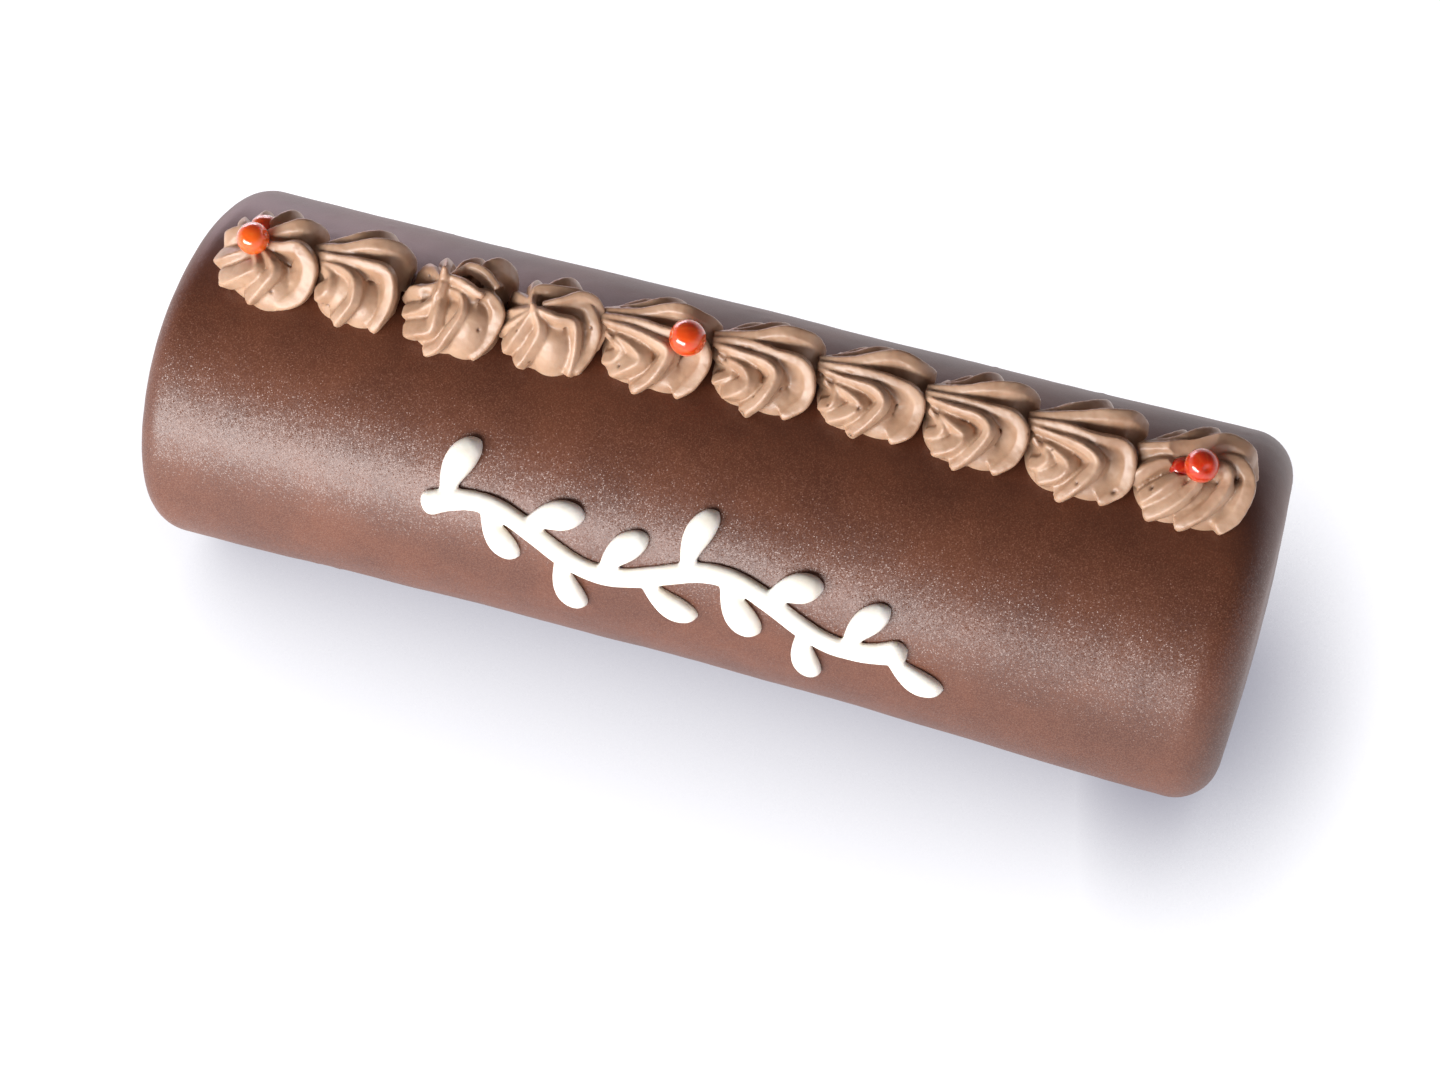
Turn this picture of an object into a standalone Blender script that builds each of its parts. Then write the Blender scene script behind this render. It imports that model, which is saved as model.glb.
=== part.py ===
"""Chocolate swiss roll: a glazed log, a row of piped cream shells, redcurrants and a piped vine.

Metres, +Z up. X runs along the log and -Y is its front. The cake rests on Z = 0, with the
middle of its outline over the origin. Pieces that touch in the real cake keep a thin gap here.
"""

import math
import random

import bmesh
import bpy
from mathutils import Vector

MM = 0.001
GAP = 0.3 * MM  # between pieces that touch
SHIFT = Vector((0, 1.38 * MM, 0))  # the vine stands out, so the log's axis lies behind the middle

# The log
LENGTH = 300 * MM  # between the flat parts of its ends
HALF_WIDTH = 50.8 * MM
HALF_HEIGHT = 45.9 * MM
END_DOME = 1.5 * MM  # how far the middle of an end stands proud
RIM_LEFT = 8 * MM  # rounding between an end and the side
RIM_RIGHT = 12 * MM
SAG = 0.11  # how much deeper than an ellipse the underside is, before the flat base cuts it
SAG_FROM, SAG_TO = math.radians(115), math.radians(150)  # from the top, where it grows
SLACK = 1.5 * MM  # how far the middle of the lower front is flatter than an ellipse
SLACK_ANGLE = math.radians(-105)
SLACK_SPREAD = 0.55
LOG_COLUMNS = 44
BODY_RINGS = 20
RIM_RINGS = 4

# The row of shells: length, width, height, sideways offset from the crest of the log, and
# where the ridges gather (share of the half length, offset, height above the log)
ROW_START = -141 * MM
SHELL_OVERLAP = 1 * MM  # how far a shell reaches under the one on its left
SHELLS = (
    (31.0, 29.5, 15.5, -1.0, -0.10, 0.0, 9.0),
    (25.0, 28.5, 15.5, -0.5, -1.05, 0.0, 10.5),
    (29.5, 31.5, 16.0, -1.5, -0.05, -0.5, 18.0),
    (28.0, 30.0, 16.0, 0.0, -0.18, -5.0, 17.0),
    (31.0, 28.5, 16.0, 2.0, -1.05, 0.0, 10.5),
    (29.0, 27.6, 16.0, 3.3, -1.05, 0.0, 10.5),
    (29.5, 27.2, 16.0, 4.2, -1.05, 0.0, 10.5),
    (28.0, 29.5, 16.0, 3.8, -1.05, 0.0, 10.5),
    (29.0, 30.0, 16.0, 3.0, -1.05, 0.0, 10.5),
    (31.0, 30.0, 16.0, 2.0, -1.05, 0.0, 11.0),
)
RIDGE_ANGLES = (-175, -138, -97, -60, 52, 84, 116, 150)  # degrees, where ridges meet the log
RIDGE_WANDER = 4  # degrees
NOSE_SPAN = 80  # degrees; a wider space between two ridges is the groove at the nose
COLUMNS_PER_RIDGE = 5
SHELL_RINGS = 8

# A shell's footprint
END_MARGIN = 0.6 * MM
SQUARENESS = 2.3  # where 2 is an ellipse
TAIL_REACH = 0.14  # how much further a tailed shell runs on to the left
BACK_REACH = 1.08  # how much wider a shell is on the back of the log

# The lines that the cream follows from where it gathers, over the crown and down to the log
CROWN_LIFT = 2.5 * MM
TAIL_LIFT = 2 * MM
LEAN_AT_TAIL, LEAN_AT_NOSE = -2 * MM, 13 * MM  # how far the crown leans to the right
TAILED_SPREAD = 5 * MM  # how far the crowns of a tailed shell spread sideways
ROSETTE_LENGTH, ROSETTE_WIDTH = 8 * MM, 6 * MM  # the ring of crowns of a shell with no tail
ROSETTE_DROP = 3 * MM  # how much lower its shoulders lie
HOOK = 19 * MM  # how far the ridges sweep on before they curl down
FRONT_PULL, BACK_PULL = 12.5 * MM, 8 * MM  # how far the shoulders draw in to the middle
BACK_LIFT = 2.5 * MM  # how much higher the shoulders stand on the back

# The furrows between the ridges, pressed in towards a core line inside the shell
RIDGE_DEPTH = 3.8 * MM
RIDGE_GROWTH = 0.42  # share of a line over which the furrows deepen
NOSE_DEPTH, NOSE_WIDTH, NOSE_HOLLOW = 1.15, 0.13, 0.25
CREASE_SHARE = 0.5  # how sharp the furrows are near the base
CORE_LEFT, CORE_RIGHT, CORE_HEIGHT = 4 * MM, 7 * MM, 3.5 * MM
CORE_ALONG, CORE_ACROSS = 0.8, 0.25

# The redcurrants: name, shell that it sits in, x, y, height of the middle above the log, radius
CURRANTS = (
    ("currant_left", 0, -126.6, -4.2, 14.2, 4.3),
    ("currant_left_behind", 0, -127.4, 3.5, 9.5, 4.0),
    ("currant_middle", 4, -6.3, -3.2, 15.7, 4.8),
    ("currant_right", 9, 126.7, -2.4, 15.2, 4.3),
    ("currant_right_beside", 9, 122.2, -0.3, 9.2, 3.2),
)
CURRANT_COLUMNS = 14
CURRANT_RINGS = 9

# The piped vine on the front: a wavy stem with leaves on both sides, all leaning to the right
VINE_START, VINE_END = -66 * MM, 67 * MM
VINE_ANGLE = 66  # degrees down from the top of the log
VINE_SLOPE = 7  # degrees lower at its right end than at its left end
VINE_WAVE = 5 * MM
VINE_WAVES = 2
STEM_RADIUS = 2.8 * MM
STEM_BLOB = 0.35  # how much thicker the stem is at both ends, where the icing gathered
LEAVES = 6  # on each side
LEAF_STARTS = {1: 0.30, -1: 0.78}  # by side, 1 being up the log: where in its stretch of stem a leaf starts
LEAF_LENGTH = 17 * MM
LEAF_RADIUS = 3.9 * MM
LEAF_NECK = 0.45  # share of its widest radius that a leaf has at its ends
LEAF_SWELL = 1.6  # how far along the leaf is widest: 1 is halfway, and more is nearer to its tip
LEAF_OPENING = math.radians(74)  # between the stem and the leaf where it starts
LEAF_CLOSING = math.radians(24)  # and at its tip
LEAF_UNEVEN = 0.09  # how much the leaves differ in length and in width
LEAF_WANDER = math.radians(6)
STROKE_LIFT = 0.35  # share of its radius that the middle of a stroke lies above the log
STROKE_FLATNESS = 0.75  # how flat a stroke's section is, where 1 is round
STROKE_TIP = 0.5  # share of its radius that a stroke's tip runs on
STROKE_TAPER = (0.56, 0.9)  # shares of the radius at the first two rings from a tip
STROKE_SIDES = 8
STEM_STEPS = 36
LEAF_STEPS = 5


def clear_scene():
    for old in list(bpy.data.objects):
        bpy.data.objects.remove(old)


def material(name, color, roughness):
    made = bpy.data.materials.new(name)
    made.use_nodes = True
    shader = made.node_tree.nodes["Principled BSDF"]
    shader.inputs["Base Color"].default_value = (*color, 1)
    shader.inputs["Roughness"].default_value = roughness
    shader.inputs["Metallic"].default_value = 0
    return made


def clamp(value, low, high):
    return max(low, min(high, value))


def mix(low, high, share):
    return low + (high - low) * share


def smooth_step(value, start, end):
    share = clamp((value - start) / (end - start), 0, 1)
    return share * share * (3 - 2 * share)


def shaped_sphere(name, columns, rings, place, surface):
    """A UV sphere whose vertices go where place(column, ring) says, ring 0 being one pole.

    Places are given with the log's axis over the X axis.
    """
    bm = bmesh.new()
    bmesh.ops.create_uvsphere(bm, u_segments=columns, v_segments=rings, radius=1)
    for vertex in bm.verts:
        x, y, z = vertex.co
        column = round(math.atan2(y, x) / math.tau * columns) % columns
        ring = round(math.acos(clamp(z, -1, 1)) / math.pi * rings)
        vertex.co = place(column, ring) + SHIFT
    if bm.calc_volume(signed=True) < 0:
        bmesh.ops.reverse_faces(bm, faces=bm.faces)
    mesh = bpy.data.meshes.new(name)
    bm.to_mesh(mesh)
    bm.free()
    mesh.shade_smooth()
    mesh.set_sharp_from_angle(angle=math.radians(40))
    mesh.materials.append(surface)
    made = bpy.data.objects.new(name, mesh)
    bpy.context.scene.collection.objects.link(made)
    return made


def boolean(target, operation, other, solver="EXACT"):
    """Joins or cuts the target with another object, which then stays as a hidden helper."""
    step = target.modifiers.new(operation.lower() + "_" + other.name, "BOOLEAN")
    step.operation = operation
    step.solver = solver
    step.object = other
    other.hide_render = True
    other.display_type = "WIRE"


# --- The log -------------------------------------------------------------------------------


def unevenness(x, angle):
    """How far the hand-rolled side stands out from a true section, at an angle from the top."""
    turns = math.tau * x / LENGTH
    slow = 0.45 * MM * math.cos(turns + 0.9) * math.cos(angle + 0.5)
    quick = 0.3 * MM * math.cos(2.2 * turns + 0.4) * math.sin(2 * angle + 0.7)
    lower_front = math.exp(-(((angle - SLACK_ANGLE) / SLACK_SPREAD) ** 2))
    return slow + quick - SLACK * math.cos(0.95 * turns) * lower_front


def log_section(x, angle, inset=0.0):
    """(y, z) of the log's skin, with the angle in radians from the top and + to the back."""
    full = 1 + SAG * smooth_step(abs(angle), SAG_FROM, SAG_TO)
    out = unevenness(x, angle) - inset
    y = (HALF_WIDTH + out) * math.sin(angle)
    z = HALF_HEIGHT + (HALF_HEIGHT * full + out) * math.cos(angle)
    return y, max(0, z)


def log_end(end, rim):
    """(x, inset, share of the section) from the middle of an end to where the side starts."""
    side = math.copysign(1, end)
    rings = [(end + side * END_DOME, rim, 0), (end + side * 0.7 * END_DOME, rim, 0.55)]
    for step in range(RIM_RINGS + 1):
        turn = math.pi / 2 * step / RIM_RINGS
        rings.append((end - side * rim * (1 - math.cos(turn)), rim * (1 - math.sin(turn)), 1))
    return rings


def build_log(surface, name="log", grow=0.0):
    left = log_end(-LENGTH / 2, RIM_LEFT)
    right = log_end(LENGTH / 2, RIM_RIGHT)[::-1]
    side_start, side_end = left[-1][0], right[0][0]
    side = [(mix(side_start, side_end, step / BODY_RINGS), 0, 1) for step in range(1, BODY_RINGS)]
    profile = left + side + right

    def place(column, ring):
        x, inset, share = profile[ring]
        angle = math.tau * column / LOG_COLUMNS - math.pi
        skin = Vector((x, *log_section(x, angle, inset - grow)))
        return Vector((x, 0, HALF_HEIGHT)).lerp(skin, share)

    return shaped_sphere(name, LOG_COLUMNS, len(profile) - 1, place, surface)


def log_top(x, y):
    """Height of the log's upper skin over the point (x, y)."""
    angle = math.asin(clamp(y / HALF_WIDTH, -1, 1))
    for _ in range(4):
        found_y, _ = log_section(x, angle)
        angle += (y - found_y) / HALF_WIDTH
    return log_section(x, angle)[1]


def on_log(x, angle, lift):
    """The point at this angle from the top, lifted off the skin along its normal, and the normal."""
    normal = Vector((0, math.sin(angle) / HALF_WIDTH, math.cos(angle) / HALF_HEIGHT)).normalized()
    return Vector((x, *log_section(x, angle))) + normal * lift, normal


# --- The shells ----------------------------------------------------------------------------


def flow_line(shell, angle):
    """Bezier points of the line that the cream follows, from where it gathers to the log at angle."""
    length, width, height, gather_offset, gather_height = (shell[i] * MM for i in (0, 1, 2, 5, 6))
    gather = shell[4]
    turned = abs(math.degrees(angle))
    side = 1 if angle > 0 else -1
    along, across = math.cos(angle), abs(math.sin(angle))
    back = max(0, (turned - 60) / 120)  # 0 over the nose to 1 at the tail
    tailed = clamp((-gather - 0.1) / 0.8, 0, 1)  # 0 for a rosette to 1 for a long tail

    half_length = length / 2 - END_MARGIN
    round_off = (abs(along) ** SQUARENESS + across**SQUARENESS) ** (-1 / SQUARENESS)
    behind = 1 + TAIL_REACH * max(0, -gather - 0.2) * max(0, -along) ** 0.5
    beside = BACK_REACH if side > 0 else -1
    base = Vector((half_length * along * behind, width / 2 * across * beside, 0)) * round_off
    start = Vector((gather * half_length, gather_offset, gather_height))

    fan = max(0, math.cos(math.radians(turned / 2))) ** 1.2
    ahead = mix(ROSETTE_LENGTH * along, mix(LEAN_AT_TAIL, LEAN_AT_NOSE, fan), tailed)
    spread = TAILED_SPREAD * across**0.8 * mix(0.5, 1, back**0.5)
    aside = mix(ROSETTE_WIDTH * across, spread, tailed)
    crown = start + Vector((ahead, side * aside, 0))
    crown.z = mix(height + CROWN_LIFT, gather_height + TAIL_LIFT, back**0.8)

    curl = math.sin(math.radians(min(90, 1.5 * turned)))
    pull = (FRONT_PULL if side < 0 else BACK_PULL) * curl * (1 - back) ** 1.6
    shoulder = base + Vector((HOOK * curl * (1 - back**1.2), -side * pull, 0))
    lift = BACK_LIFT * min(1, turned / 40) if side > 0 else 0
    high = height + lift - ROSETTE_DROP * (1 - tailed)
    shoulder.z = mix(high, gather_height * 0.8, back**1.2)
    return start, crown, shoulder, base


def bezier(points, share):
    a, b, c, d = points
    rest = 1 - share
    return a * rest**3 + b * 3 * rest * rest * share + c * 3 * rest * share * share + d * share**3


def furrow(between, share, is_nose):
    """Depth of the furrow, 0 on a ridge to 1, at a place between two ridges (0 to 1)."""
    hollow = math.sin(math.pi * between)
    if is_nose:
        groove = math.exp(-(((between - 0.5) / NOSE_WIDTH) ** 2))
        return NOSE_DEPTH * groove + NOSE_HOLLOW * hollow**1.5
    crease = 1 - abs(math.cos(math.pi * between))
    return mix(hollow, crease, CREASE_SHARE * smooth_step(share, 0.45, 0.95))


def shell_point(shell, ridges, column, share, grow=0.0):
    """A point of a shell's skin in its own frame; share runs from the tail (0) to the base (1)."""
    ridge, between = divmod(column / COLUMNS_PER_RIDGE, 1)
    low = ridges[int(ridge)]
    high = ridges[(int(ridge) + 1) % len(ridges)]
    span = (high - low) % 360
    angle = math.radians((low + span * between + 180) % 360 - 180)
    skin = bezier(flow_line(shell, angle), share)
    half = shell[0] * MM / 2
    core_x = clamp(CORE_ALONG * skin.x, CORE_LEFT - half, half - CORE_RIGHT)
    core = Vector((core_x, CORE_ACROSS * skin.y, CORE_HEIGHT + 0.25 * skin.z))
    strength = min(1, share / RIDGE_GROWTH) ** 1.3 * (1 - 0.25 * smooth_step(share, 0.7, 1))
    depth = RIDGE_DEPTH * strength * furrow(between, share, span > NOSE_SPAN)
    return skin + (skin - core).normalized() * (grow - depth)


def build_shell(name, index, surface, grow=0.0):
    shell = SHELLS[index]
    before = sum(row[0] * MM - SHELL_OVERLAP for row in SHELLS[:index])
    middle_x = ROW_START + before + shell[0] * MM / 2
    middle_y = shell[3] * MM
    draw = random.Random(index)
    ridges = [angle + draw.uniform(-RIDGE_WANDER, RIDGE_WANDER) for angle in RIDGE_ANGLES]

    def place(column, ring):
        """The last ring and the pole after SHELL_RINGS close the underside."""
        local = shell_point(shell, ridges, column, min(1, ring / SHELL_RINGS), grow)
        inward = (1, 0.5, 0)[max(0, ring - SHELL_RINGS)]
        x, y = middle_x + local.x * inward, middle_y + local.y * inward
        lift = local.z if ring < SHELL_RINGS else -grow
        return Vector((x, y, log_top(x, y) + GAP + lift))

    columns = len(RIDGE_ANGLES) * COLUMNS_PER_RIDGE
    return shaped_sphere(name, columns, SHELL_RINGS + 2, place, surface)


# --- The redcurrants -----------------------------------------------------------------------


def build_currant(name, row, surface, grow=0.0):
    x, y, height, radius = (value * MM for value in row)
    middle = Vector((x, y, log_top(x, y) + height))

    def place(column, ring):
        down = math.pi * ring / CURRANT_RINGS
        around = math.tau * column / CURRANT_COLUMNS
        level = Vector((math.cos(around), math.sin(around), 0)) * math.sin(down)
        return middle + (radius + grow) * (level + Vector((0, 0, math.cos(down))))

    return shaped_sphere(name, CURRANT_COLUMNS, CURRANT_RINGS, place, surface)


# --- The piped vine ------------------------------------------------------------------------


def vine_place(along, aside, lift):
    """A place on the front of the log, by metres along the vine and up the log from its line."""
    share = (along - VINE_START) / (VINE_END - VINE_START)
    angle = math.radians(VINE_ANGLE + VINE_SLOPE * (share - 0.5)) - aside / HALF_HEIGHT
    return on_log(along, -angle, lift)


def stem_line(share):
    return mix(VINE_START, VINE_END, share), VINE_WAVE * math.sin(math.tau * VINE_WAVES * share)


def build_stroke(name, line, radii, surface):
    """A piped stroke along a line of (along, aside) places, pressed a little into the log."""
    places = [vine_place(*spot, radius * STROKE_LIFT) for spot, radius in zip(line, radii)]
    last = len(places) - 1

    def place(column, ring):
        """Rings 0 and last + 2 are the tips of the stroke."""
        step = clamp(ring - 1, 0, last)
        middle, normal = places[step]
        ahead = (places[min(last, step + 1)][0] - places[max(0, step - 1)][0]).normalized()
        if ring in (0, last + 2):
            return middle + ahead * radii[step] * (-STROKE_TIP if ring == 0 else STROKE_TIP)
        turn = math.tau * column / STROKE_SIDES
        across = ahead.cross(normal).normalized() * math.cos(turn)
        upward = normal * math.sin(turn) * STROKE_FLATNESS
        return middle + radii[step] * (across + upward)

    return shaped_sphere(name, STROKE_SIDES, last + 2, place, surface)


def taper(step, steps):
    """Share of its radius that a stroke has at a ring, smaller next to both tips."""
    from_tip = min(step, steps - step)
    return STROKE_TAPER[from_tip] if from_tip < len(STROKE_TAPER) else 1


def build_stem(surface):
    line = [stem_line(step / STEM_STEPS) for step in range(STEM_STEPS + 1)]
    radii = []
    for step in range(STEM_STEPS + 1):
        blob = STEM_BLOB * math.exp(-((min(step, STEM_STEPS - step) / 1.5) ** 2))
        radii.append(STEM_RADIUS * (1 + blob) * taper(step, STEM_STEPS))
    return build_stroke("piped_vine", line, radii, surface)


def stem_slope(share):
    """Angle of the stem's line against the line of the vine."""
    rise = VINE_WAVE * math.tau * VINE_WAVES * math.cos(math.tau * VINE_WAVES * share)
    return math.atan2(rise, VINE_END - VINE_START)


def build_leaf(name, share, side, draw, surface):
    """A leaf from the stem at share: side is 1 up the log or -1 down it."""
    along, aside = stem_line(share)
    length = LEAF_LENGTH * (1 + LEAF_UNEVEN * draw.uniform(-1, 1))
    radius = LEAF_RADIUS * (1 + LEAF_UNEVEN * draw.uniform(-1, 1))
    lean = stem_slope(share) + LEAF_WANDER * draw.uniform(-1, 1)
    line = []
    radii = []
    for step in range(LEAF_STEPS + 1):
        part = step / LEAF_STEPS
        turn = lean + side * mix(LEAF_OPENING, LEAF_CLOSING, part / 2)
        line.append((along + length * part * math.cos(turn), aside + length * part * math.sin(turn)))
        swell = math.sin(math.pi * part**LEAF_SWELL)
        radii.append(radius * mix(LEAF_NECK, 1, swell) * taper(LEAF_STEPS - step, 2 * LEAF_STEPS))
    return build_stroke(name, line, radii, surface)


def build_vine(surface):
    vine = build_stem(surface)
    draw = random.Random(6)
    for number in range(LEAVES):
        for side, start in LEAF_STARTS.items():
            name = f"leaf_{number + 1}_{'up' if side > 0 else 'down'}"
            share = (number + start) / LEAVES
            boolean(vine, "UNION", build_leaf(name, share, side, draw, surface))
    # the exact solver loses the whole vine here, where many of its faces just graze the log
    boolean(vine, "DIFFERENCE", build_log(surface, "clearance_log", GAP), "MANIFOLD")
    return vine


def main():
    clear_scene()
    glaze = material("chocolate_glaze", (0.075, 0.024, 0.012), 0.42)
    cream = material("cocoa_cream", (0.58, 0.36, 0.24), 0.55)
    skin = material("redcurrant_skin", (0.75, 0.05, 0.01), 0.12)
    icing = material("white_icing", (0.90, 0.88, 0.80), 0.5)

    build_log(glaze)
    shells = [build_shell(f"shell_{index + 1:02d}", index, cream) for index in range(len(SHELLS))]
    for index in range(1, len(shells)):
        left_shell = build_shell(f"clearance_{index:02d}", index - 1, cream, GAP)
        boolean(shells[index], "DIFFERENCE", left_shell)
    for name, index, *row in CURRANTS:
        build_currant(name, row, skin)
        boolean(shells[index], "DIFFERENCE", build_currant("seat_" + name, row, skin, GAP))
    build_vine(icing)


main()
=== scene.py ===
# Chocolate swiss roll, the looks: glazed log, piped cream shells, redcurrants and piped icing.
# Everything is in metres and in the frame's own axes: X along the log, -Y the front, +Z up.

import math
import random

import bmesh
import bpy
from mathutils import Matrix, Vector, kdtree, noise


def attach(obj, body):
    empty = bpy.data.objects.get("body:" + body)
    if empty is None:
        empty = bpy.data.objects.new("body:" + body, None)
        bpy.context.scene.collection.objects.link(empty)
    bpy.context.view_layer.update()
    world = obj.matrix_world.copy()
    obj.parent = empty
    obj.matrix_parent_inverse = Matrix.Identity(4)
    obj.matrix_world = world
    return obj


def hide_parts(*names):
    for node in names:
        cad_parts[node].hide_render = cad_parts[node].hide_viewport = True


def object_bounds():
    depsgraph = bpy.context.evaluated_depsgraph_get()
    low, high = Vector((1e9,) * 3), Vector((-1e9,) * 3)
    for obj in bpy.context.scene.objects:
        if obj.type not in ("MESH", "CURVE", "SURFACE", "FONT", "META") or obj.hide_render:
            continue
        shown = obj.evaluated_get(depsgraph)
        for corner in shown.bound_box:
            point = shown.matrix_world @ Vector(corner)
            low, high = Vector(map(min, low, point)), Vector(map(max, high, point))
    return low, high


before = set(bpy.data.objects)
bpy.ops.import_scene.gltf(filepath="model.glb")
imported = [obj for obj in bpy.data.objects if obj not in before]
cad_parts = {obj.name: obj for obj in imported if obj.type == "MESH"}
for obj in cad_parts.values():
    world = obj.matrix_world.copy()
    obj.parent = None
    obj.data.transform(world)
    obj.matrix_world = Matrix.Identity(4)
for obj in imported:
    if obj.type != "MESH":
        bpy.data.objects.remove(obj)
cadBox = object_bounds()
print("frame loaded:", len(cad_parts), "nodes")

mm = 0.001
logAxisY = 1.38 * mm  # the log's axis lies this far behind the middle of the whole


def clamp(value, low, high):
    return max(low, min(high, value))


def mix(low, high, share):
    return low + (high - low) * share


def smoothStep(value, start, end):
    share = clamp((value - start) / (end - start), 0, 1)
    return share * share * (3 - 2 * share)


def srgb(red, green, blue):  # linear colour of a screen colour given as 0 to 255
    shares = (red / 255, green / 255, blue / 255)
    return tuple(s / 12.92 if s <= 0.04045 else ((s + 0.055) / 1.055) ** 2.4 for s in shares)


# a bmesh sphere whose points go where place(column, ring) says; rings 0 and last are its poles
def shapeSphere(columns, rings, place):
    bm = bmesh.new()
    bmesh.ops.create_uvsphere(bm, u_segments=columns, v_segments=rings, radius=1)
    for vert in bm.verts:
        x, y, z = vert.co
        column = round(math.atan2(y, x) / math.tau * columns) % columns
        ring = round(math.acos(clamp(z, -1, 1)) / math.pi * rings)
        vert.co = place(column, ring)
    if bm.calc_volume(signed=True) < 0:
        bmesh.ops.reverse_faces(bm, faces=bm.faces)
    return bm


def addPiece(name, bm, finish, bounds=cadBox):
    # all is set out round the log's own axis
    bmesh.ops.translate(bm, vec=(0, logAxisY, 0), verts=bm.verts)
    if bounds:
        for vert in bm.verts:
            vert.co = [clamp(value, low, high) for value, low, high in zip(vert.co, *bounds)]
    mesh = bpy.data.meshes.new(name)
    bm.to_mesh(mesh)
    bm.free()
    mesh.shade_smooth()
    mesh.materials.append(finish)
    piece = bpy.data.objects.new(name, mesh)
    bpy.context.scene.collection.objects.link(piece)
    return piece


# the piece rides on the cake's one body and stands for these CAD nodes
def dressNode(piece, slot, *nodes):
    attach(piece, "root")
    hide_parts(*nodes)


def startMaterial(name):  # a new material, its tree, its shader and the object coordinates
    finish = bpy.data.materials.new(name)
    finish.use_nodes = True
    tree = finish.node_tree
    place = tree.nodes.new("ShaderNodeTexCoord")
    return finish, tree, tree.nodes["Principled BSDF"], place.outputs["Object"]


def setInputs(shader, **values):  # Base_Color stands for the socket Base Color
    for label, value in values.items():
        shader.inputs[label.replace("_", " ")].default_value = value


# noise whose lumps are about size metres across
def addNoise(tree, place, size, detail=2.0, roughness=0.5, distortion=0.0):
    node = tree.nodes.new("ShaderNodeTexNoise")
    node.inputs["Scale"].default_value = 1 / size
    node.inputs["Detail"].default_value = detail
    node.inputs["Roughness"].default_value = roughness
    node.inputs["Distortion"].default_value = distortion
    tree.links.new(place, node.inputs["Vector"])
    return node.outputs["Fac"]


def addRange(tree, value, fromLow, fromHigh, toLow, toHigh):
    node = tree.nodes.new("ShaderNodeMapRange")
    labels = ("From Min", "From Max", "To Min", "To Max")
    for label, number in zip(labels, (fromLow, fromHigh, toLow, toHigh)):
        node.inputs[label].default_value = number
    tree.links.new(value, node.inputs["Value"])
    return node.outputs["Result"]


def addMix(tree, share, first, second):  # each colour is a socket or a linear colour
    node = tree.nodes.new("ShaderNodeMix")
    node.data_type = "RGBA"
    tree.links.new(share, node.inputs["Factor"])
    # A, B and Result are also the names of its other sockets, so the ones for colours go by number
    for socket, color in ((node.inputs[6], first), (node.inputs[7], second)):
        if isinstance(color, tuple):
            socket.default_value = (*color, 1)
        else:
            tree.links.new(color, socket)
    return node.outputs[2]


def addBump(tree, height, distance, under=None):  # under is the normal that the bump lies on
    node = tree.nodes.new("ShaderNodeBump")
    node.inputs["Distance"].default_value = distance
    tree.links.new(height, node.inputs["Height"])
    if under:
        tree.links.new(under, node.inputs["Normal"])
    return node.outputs["Normal"]


def addMath(tree, operation, first, second):
    node = tree.nodes.new("ShaderNodeMath")
    node.operation = operation
    tree.links.new(first, node.inputs[0])
    tree.links.new(second, node.inputs[1])
    return node.outputs[0]


def addVector(tree, operation, first, second=None):  # second is a socket or a fixed vector
    node = tree.nodes.new("ShaderNodeVectorMath")
    node.operation = operation
    tree.links.new(first, node.inputs[0])
    if operation == "SCALE":
        tree.links.new(second, node.inputs["Scale"])
    elif isinstance(second, tuple):
        node.inputs[1].default_value = second
    elif second:
        tree.links.new(second, node.inputs[1])
    return node.outputs[0]


cameraSettings = {
    "place": Vector((0.13456, -0.40950, 0.61111)),
    "azimuth": 17.96,  # degrees
    "elevation": 53.87,
    "lens": 64.86,
    "sensor": 36,
}


def addCamera(s):
    azimuth, elevation = math.radians(s["azimuth"]), math.radians(s["elevation"])
    level = math.cos(elevation)
    back = Vector((math.sin(azimuth) * level, -math.cos(azimuth) * level, math.sin(elevation)))
    lens = bpy.data.cameras.new("camera")
    lens.lens = s["lens"]
    lens.sensor_width = s["sensor"]
    camera = bpy.data.objects.new("camera", lens)
    camera.location = s["place"]
    camera.rotation_mode = "QUATERNION"
    camera.rotation_quaternion = (-back).to_track_quat("-Z", "Y")
    bpy.context.scene.collection.objects.link(camera)
    bpy.context.scene.camera = camera


studio = {
    "floorSize": 8,
    "floorColor": (0.12, 0.12, 0.13),
    "floorGlow": (1.16, 1.16, 1.19),  # lit from below, so bright that it has no tone of its own
    # the colour that the floor's glow is dimmed to in its painted shadow
    "floorPaintedShadow": (0.30, 0.30, 0.36),
    "floorRoughness": 0.8,
    "shadeReach": 0.11,
    "shadeSamples": 8,
    # the painted shadow patch round the right end: how much it deepens, its middle and its reach
    "endPaintedShadow": 4.2,  # how much the shade deepens round the right end, away from the light
    "endPaintedShadowPlace": Vector((0.152, 0.022, 0)),
    "endPaintedShadowReach": Vector((0.042, 0.12, 1)),
    # the walls' light reaches up to the first height, and the ceiling's begins at the second
    "horizon": (0.98, 0.90, 0.97),
    "horizonTop": 0.16,
    "zenith": (0.10, 0.095, 0.095),
    "zenithFrom": 0.52,
}

softboxes = {
    "keySoftbox": {
        "place": Vector((-0.33, -0.74, 0.23)),
        "aim": Vector((0, 0, 0.08)),
        "size": (0.84, 0.25),
        "radiance": 18,
        "color": (0.985, 0.985, 0.972),
    },
    "backSoftbox": {
        "place": Vector((-0.45, 0.50, 0.19)),
        "aim": Vector((-0.10, 0, 0.09)),
        "size": (0.50, 0.28),
        "radiance": 3.6,
        "color": (1.0, 0.80, 0.90),
    },
}


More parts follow.
